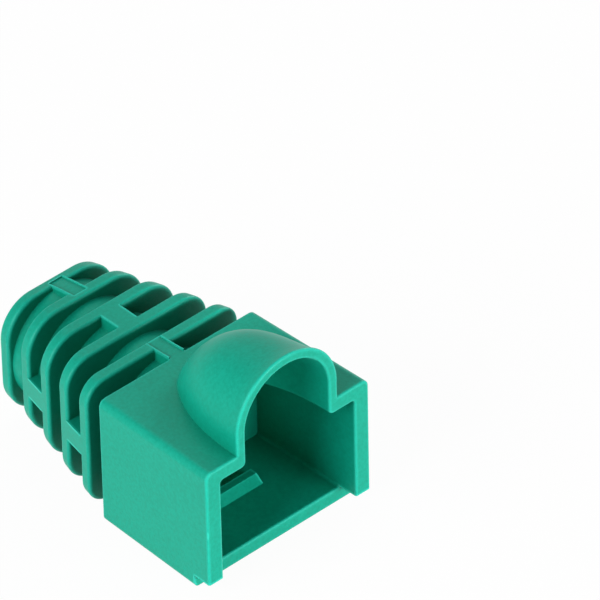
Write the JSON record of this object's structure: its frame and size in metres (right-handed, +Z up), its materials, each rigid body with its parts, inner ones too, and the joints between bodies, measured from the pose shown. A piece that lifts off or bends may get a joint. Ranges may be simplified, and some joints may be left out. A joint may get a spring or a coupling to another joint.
{
  "type": "strain relief boot",
  "caption": "Moulded strain relief boot for a modular network plug, with a hood over the latch and a ribbed, flexible tail round the cable.",
  "frame": {"origin": "on the cable hole's axis, at the face where the cable leaves the tail", "axes": "+Y along the cable, from the plug mouth to the cable end; +Z up, from the housing's base to the hood; X across, the boot being symmetric about X = 0"},
  "size_m": [0.0144, 0.0234, 0.0163],
  "materials": {
    "boot": "satin"
  },
  "bodies": {
    "root": {"boot": "boot"}
  },
  "joints": []
}
